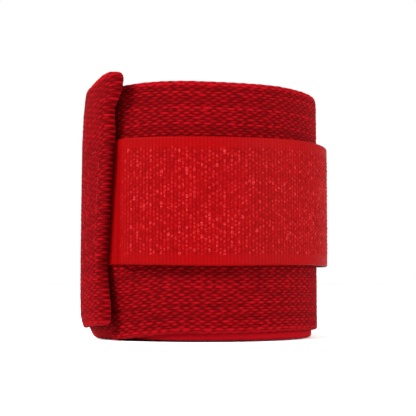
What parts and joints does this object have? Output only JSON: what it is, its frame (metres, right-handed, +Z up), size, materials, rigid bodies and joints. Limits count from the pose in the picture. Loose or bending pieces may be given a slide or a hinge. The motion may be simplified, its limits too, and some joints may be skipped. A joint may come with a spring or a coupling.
{
  "type": "rolled hand wrap",
  "caption": "Rolled cotton hand wrap standing on end, with a folded end hem and a narrow hook tape strap that closes round the roll on to a loop patch.",
  "frame": {"origin": "where the roll's axis meets the plane that the inner turns stand on", "axes": "+Z up along the roll's axis, -Y towards the front, where the strap crosses, and the end hem is at the left of the front, on the -X side"},
  "size_m": [0.0533, 0.0546, 0.0545],
  "materials": {
    "cotton": "plain woven cotton",
    "loop_tape": "narrow woven tape",
    "pile": "brushed loop pile",
    "thread": "twisted sewing thread",
    "hook_tape": "ribbed nylon tape with a slight sheen",
    "hooks": "stiff nylon hooks"
  },
  "bodies": {
    "roll": {"inner_turns": "cotton", "outer_turn": "cotton", "thumb_loop": "loop_tape", "loop_patch": "pile", "patch_stitching": "thread", "thumb_loop_tack": "thread"},
    "wrap_end": {"end_flap": "cotton", "end_hem": "cotton", "strap_root": "hook_tape", "hem_stitching": "thread", "root_stitching": "thread"},
    "strap_1": {"strap_tape_1": "hook_tape", "hook_field_1": "hooks"},
    "strap_2": {"strap_tape_2": "hook_tape", "hook_field_2": "hooks"},
    "strap_3": {"strap_tape_3": "hook_tape", "hook_field_3": "hooks"},
    "strap_4": {"strap_tape_4": "hook_tape", "hook_field_4": "hooks"},
    "strap_5": {"strap_tape_5": "hook_tape", "hook_field_5": "hooks"},
    "strap_6": {"strap_tape_6": "hook_tape", "hook_field_6": "hooks"},
    "strap_7": {"strap_tape_7": "hook_tape", "hook_field_7": "hooks"},
    "strap_8": {"strap_tape_8": "hook_tape", "hook_field_8": "hooks"},
    "strap_tip": {"strap_tape_tip": "hook_tape", "hook_field_tip": "hooks"}
  },
  "joints": [
    {"name": "wrap_end_lift", "type": "hinge", "parent": "roll", "child": "wrap_end", "pos_m": [-0.02367, 0.0104, 0.0275], "axis": [0, 0, -1], "range_deg": [0, 23.2]},
    {"name": "strap_peel", "type": "hinge", "parent": "wrap_end", "child": "strap_1", "pos_m": [-0.01732, -0.01905, 0.0279], "axis": [0, 0, -1], "range_deg": [0, 29]},
    {"name": "strap_bend_2", "type": "hinge", "parent": "strap_1", "child": "strap_2", "pos_m": [-0.00616, -0.02655, 0.0279], "axis": [0, 0, -1], "range_deg": [0, 29]},
    {"name": "strap_bend_3", "type": "hinge", "parent": "strap_2", "child": "strap_3", "pos_m": [0.00758, -0.02617, 0.0279], "axis": [0, 0, -1], "range_deg": [0, 29]},
    {"name": "strap_bend_4", "type": "hinge", "parent": "strap_3", "child": "strap_4", "pos_m": [0.01939, -0.01915, 0.0279], "axis": [0, 0, -1], "range_deg": [0, 29]},
    {"name": "strap_bend_5", "type": "hinge", "parent": "strap_4", "child": "strap_5", "pos_m": [0.02627, -0.00725, 0.0279], "axis": [0, 0, -1], "range_deg": [0, 29]},
    {"name": "strap_bend_6", "type": "hinge", "parent": "strap_5", "child": "strap_6", "pos_m": [0.02646, 0.00649, 0.0279], "axis": [0, 0, -1], "range_deg": [0, 29]},
    {"name": "strap_bend_7", "type": "hinge", "parent": "strap_6", "child": "strap_7", "pos_m": [0.01993, 0.01858, 0.0279], "axis": [0, 0, -1], "range_deg": [0, 29]},
    {"name": "strap_bend_8", "type": "hinge", "parent": "strap_7", "child": "strap_8", "pos_m": [0.00837, 0.02601, 0.0279], "axis": [0, 0, -1], "range_deg": [0, 29]},
    {"name": "tip_lift", "type": "hinge", "parent": "strap_8", "child": "strap_tip", "pos_m": [-0.00533, 0.02702, 0.0279], "axis": [0, 0, -1], "range_deg": [0, 50]}
  ],
  "couplings": [
    {"joint": "wrap_end_lift", "follows": "strap_peel", "ratio": 0.8},
    {"joint": "strap_bend_2", "follows": "strap_peel", "ratio": 1},
    {"joint": "strap_bend_3", "follows": "strap_peel", "ratio": 1},
    {"joint": "strap_bend_4", "follows": "strap_peel", "ratio": 1},
    {"joint": "strap_bend_5", "follows": "strap_peel", "ratio": 1},
    {"joint": "strap_bend_6", "follows": "strap_peel", "ratio": 1},
    {"joint": "strap_bend_7", "follows": "strap_peel", "ratio": 1},
    {"joint": "strap_bend_8", "follows": "strap_peel", "ratio": 1}
  ]
}
